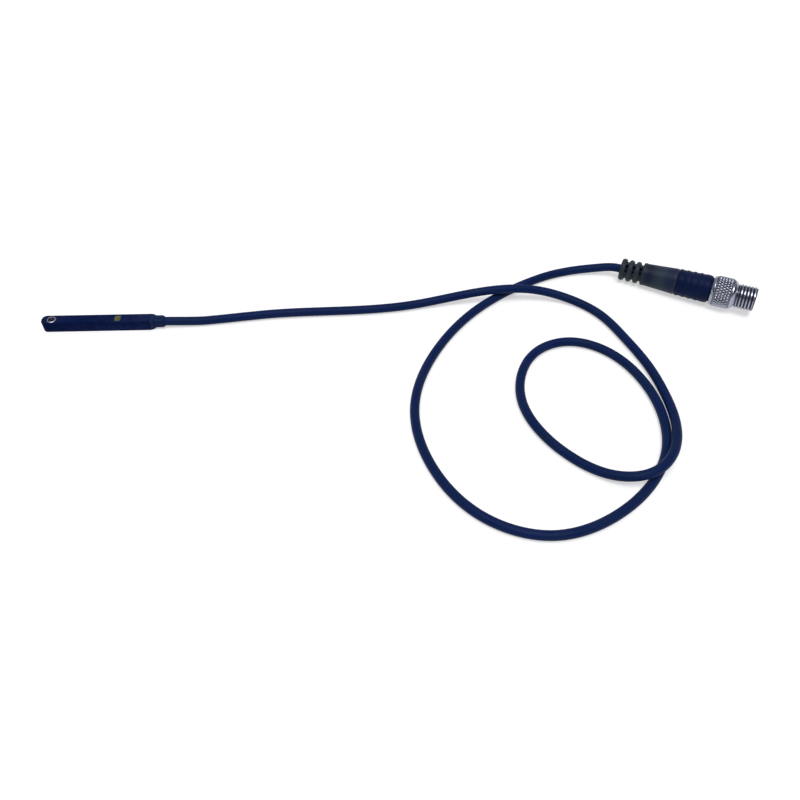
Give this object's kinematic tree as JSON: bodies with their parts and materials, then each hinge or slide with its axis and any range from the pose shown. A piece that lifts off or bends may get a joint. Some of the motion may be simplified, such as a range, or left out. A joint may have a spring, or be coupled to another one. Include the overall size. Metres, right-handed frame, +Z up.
{
  "type": "magnetic field sensor",
  "caption": "Slim cylinder-slot magnetic sensor: moulded head with clamp screw and light window, thin round cable and a round plug with a knurled threaded coupling nut.",
  "frame": {"origin": "middle of the sensor head's underside, on the surface it lies on", "axes": "+X along the head towards its cable end, +Z up through the head's top with the light window and the screw, +Y across the head"},
  "size_m": [0.2309, 0.1087, 0.0102],
  "materials": {
    "housing_navy": "smooth satin moulding",
    "potting_dark": "cast resin, satin",
    "grommet_smoke": "soft smoky moulding, slightly translucent",
    "bush_nickel": "nickel plated, bright turned",
    "screw_steel": "bright, fine turning marks",
    "window_amber": "tinted, smooth",
    "board_green": "solder mask",
    "chip_black": "moulded package",
    "led_body": "tinted lens",
    "ceramic_buff": "fired ceramic",
    "core_brown": "smooth insulation",
    "core_black": "smooth insulation",
    "core_blue": "smooth insulation",
    "cable_navy": "soft satin jacket",
    "relief_smoke": "soft smoky moulding, slightly translucent",
    "grip_navy": "soft satin moulding",
    "mould_dark": "moulded, unseen",
    "carrier_black": "moulded insulator",
    "contact_gold": "gold plated",
    "nut_nickel": "nickel plated, diamond knurled"
  },
  "bodies": {
    "root": {"housing": "housing_navy", "potting": "potting_dark", "cable_grommet": "grommet_smoke", "screw_bush": "bush_nickel", "light_window": "window_amber", "circuit_board": "board_green", "sensing_chip": "chip_black", "protection_diode": "chip_black", "output_chip": "chip_black", "chip_resistor": "chip_black", "status_led": "led_body", "chip_capacitor": "ceramic_buff", "head_core_brown": "core_brown", "head_core_black": "core_black", "head_core_blue": "core_blue", "cable": "cable_navy", "strain_relief": "relief_smoke", "grip_body": "grip_navy", "inner_mould": "mould_dark", "contact_carrier": "carrier_black", "contact_pin_1": "contact_gold", "contact_pin_2": "contact_gold", "contact_pin_3": "contact_gold", "plug_core_brown": "core_brown", "plug_core_black": "core_black", "plug_core_blue": "core_blue"},
    "nut": {"coupling_nut": "nut_nickel"},
    "screw": {"clamp_screw": "screw_steel"}
  },
  "joints": [
    {"name": "coupling_nut_spin", "type": "hinge", "parent": "root", "child": "nut", "pos_m": [0.19757, 0.00702, 0.00498], "axis": [0.8956, -0.4426, 0.045], "continuous": true},
    {"name": "clamp_screw_turn", "type": "hinge", "parent": "root", "child": "screw", "pos_m": [-0.0163, 0, 0.00185], "axis": [0, 0, 1], "range_deg": [-540, 0]}
  ]
}
